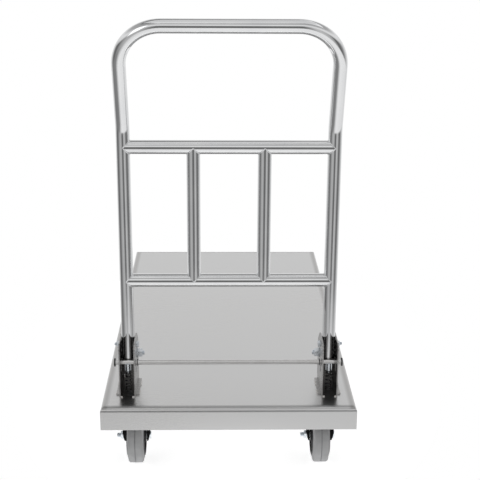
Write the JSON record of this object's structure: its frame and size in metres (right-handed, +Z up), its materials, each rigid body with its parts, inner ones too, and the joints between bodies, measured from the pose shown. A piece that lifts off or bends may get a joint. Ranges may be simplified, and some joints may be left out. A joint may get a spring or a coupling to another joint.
{
  "type": "folding platform trolley",
  "caption": "Stainless steel flat-bed platform trolley with a folded-sheet deck, a tubular hoop handle that folds down between two brackets, a foot release rod, two swivel casters and two fixed ones",
  "frame": {"origin": "on the floor, under the middle of the bounding box, which is the middle of the deck", "axes": "+Y runs along the deck away from the handle end, +X is to the right of a person pushing from the handle end, +Z is up"},
  "size_m": [0.608, 1.2, 1.0976],
  "materials": {
    "deck_steel": "satin stainless sheet, fine brushed",
    "polished_steel": "polished stainless tube and plate",
    "zinc_plate": "bright zinc plate, bluish",
    "bearing_steel": "ground bearing steel",
    "black_paint": "semi-gloss black paint",
    "black_plastic": "black nylon",
    "wheel_plastic": "dark moulded nylon",
    "grey_rubber": "non-marking grey rubber"
  },
  "bodies": {
    "chassis": {"deck_pan": "deck_steel", "caster_channel_front": "deck_steel", "caster_channel_rear": "deck_steel", "stiffener_left": "deck_steel", "stiffener_right": "deck_steel", "bracket_left": "polished_steel", "bracket_right": "polished_steel", "pivot_bolts": "zinc_plate", "pivot_nuts": "zinc_plate", "pivot_washers": "zinc_plate", "stop_studs": "zinc_plate", "stop_nuts": "zinc_plate", "stop_washers": "zinc_plate", "stop_sleeves": "bearing_steel", "release_spring_left": "zinc_plate", "release_spring_right": "zinc_plate", "swivel_plate_left": "zinc_plate", "swivel_plate_right": "zinc_plate", "race_cup_left": "zinc_plate", "race_cup_right": "zinc_plate", "swivel_balls": "bearing_steel", "kingpins": "zinc_plate", "rigid_fork_left": "black_paint", "rigid_fork_right": "black_paint", "rear_axle_sleeves": "zinc_plate", "rear_axle_bolts": "zinc_plate", "rear_axle_nuts": "zinc_plate", "caster_bolts": "zinc_plate", "caster_nuts": "zinc_plate"},
    "handle": {"handle_hoop": "polished_steel", "crossbar_upper": "polished_steel", "crossbar_lower": "polished_steel", "mid_bar_left": "polished_steel", "mid_bar_right": "polished_steel", "tube_plugs": "black_plastic", "pivot_bushes": "black_plastic"},
    "release": {"release_rod": "polished_steel", "rod_retainers": "black_plastic", "spring_caps": "zinc_plate"},
    "swivel_left": {"swivel_fork_left": "black_paint", "front_axle_sleeve_left": "zinc_plate", "front_axle_bolt_left": "zinc_plate", "front_axle_nut_left": "zinc_plate"},
    "swivel_right": {"swivel_fork_right": "black_paint", "front_axle_sleeve_right": "zinc_plate", "front_axle_bolt_right": "zinc_plate", "front_axle_nut_right": "zinc_plate"},
    "wheel_front_left": {"front_tyre_left": "grey_rubber", "front_wheel_left": "wheel_plastic", "front_bearings_left": "bearing_steel"},
    "wheel_front_right": {"front_tyre_right": "grey_rubber", "front_wheel_right": "wheel_plastic", "front_bearings_right": "bearing_steel"},
    "wheel_rear_left": {"rear_tyre_left": "grey_rubber", "rear_wheel_left": "wheel_plastic", "rear_bearings_left": "bearing_steel"},
    "wheel_rear_right": {"rear_tyre_right": "grey_rubber", "rear_wheel_right": "wheel_plastic", "rear_bearings_right": "bearing_steel"}
  },
  "joints": [
    {"name": "handle_fold", "type": "hinge", "parent": "chassis", "child": "handle", "pos_m": [0, -0.474, 0.308], "axis": [-1, 0, 0], "range_deg": [0, 90]},
    {"name": "release_press", "type": "slide", "parent": "chassis", "child": "release", "axis": [0, 0, -1], "range_m": [0, 0.02], "stiffness_N_per_m": 1500, "springref_m": -0.01, "deforming": ["release_spring_left", "release_spring_right"]},
    {"name": "swivel_left_turn", "type": "hinge", "parent": "chassis", "child": "swivel_left", "pos_m": [-0.228, -0.45, 0.15], "axis": [0, 0, 1], "continuous": true},
    {"name": "swivel_right_turn", "type": "hinge", "parent": "chassis", "child": "swivel_right", "pos_m": [0.228, -0.45, 0.15], "axis": [0, 0, 1], "continuous": true},
    {"name": "wheel_front_left_spin", "type": "hinge", "parent": "swivel_left", "child": "wheel_front_left", "pos_m": [-0.228, -0.485, 0.0675], "axis": [1, 0, 0], "continuous": true},
    {"name": "wheel_front_right_spin", "type": "hinge", "parent": "swivel_right", "child": "wheel_front_right", "pos_m": [0.228, -0.485, 0.0675], "axis": [1, 0, 0], "continuous": true},
    {"name": "wheel_rear_left_spin", "type": "hinge", "parent": "chassis", "child": "wheel_rear_left", "pos_m": [-0.228, 0.485, 0.0675], "axis": [1, 0, 0], "continuous": true},
    {"name": "wheel_rear_right_spin", "type": "hinge", "parent": "chassis", "child": "wheel_rear_right", "pos_m": [0.228, 0.485, 0.0675], "axis": [1, 0, 0], "continuous": true}
  ]
}
